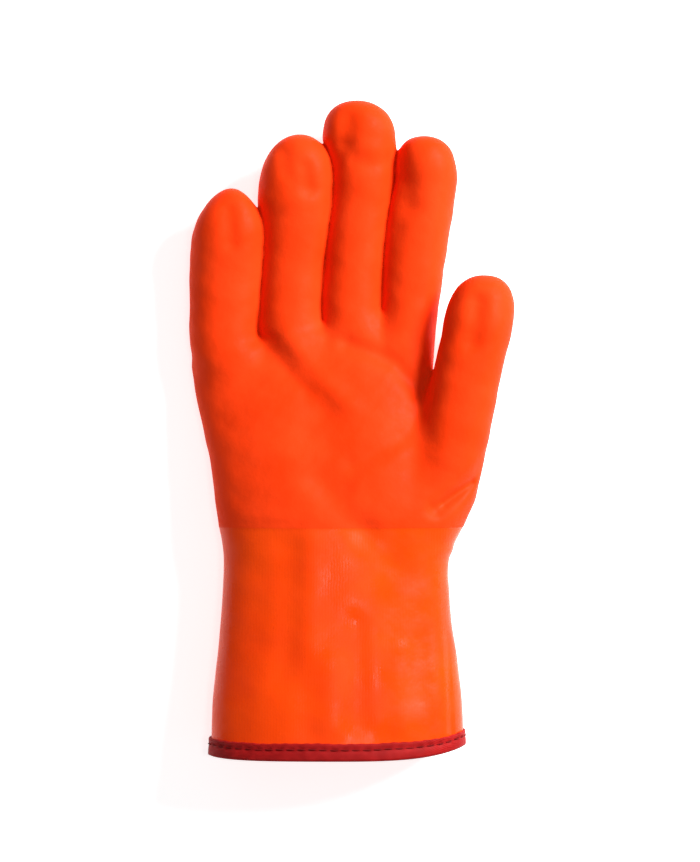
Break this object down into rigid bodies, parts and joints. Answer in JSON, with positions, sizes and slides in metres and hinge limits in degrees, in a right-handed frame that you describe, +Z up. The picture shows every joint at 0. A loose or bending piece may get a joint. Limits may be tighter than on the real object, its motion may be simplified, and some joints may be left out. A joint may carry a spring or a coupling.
{
  "type": "pvc coated work glove",
  "caption": "Right-hand dipped PVC work glove with a padded, hollow hand, a flared smooth gauntlet cuff and a tape binding stitched round the hem, lying on its back with the palm up.",
  "frame": {"origin": "under the middle of the glove's bounding box, on the surface that it lies on", "axes": "+Y from the cuff to the fingertips, +X to the thumb side, +Z up out of the palm"},
  "size_m": [0.15, 0.3018, 0.0512],
  "materials": {
    "hand_coating": "satin PVC coating in fluorescent orange-red, softly dented and finely pebbled",
    "cuff_coating": "smooth glossy PVC coating in fluorescent orange over a knit that shows through faintly",
    "binding_tape": "dark red woven binding tape with one row of lockstitch"
  },
  "bodies": {
    "root": {"hand_shell": "hand_coating", "gauntlet_cuff": "cuff_coating", "hem_binding": "binding_tape"}
  },
  "joints": []
}
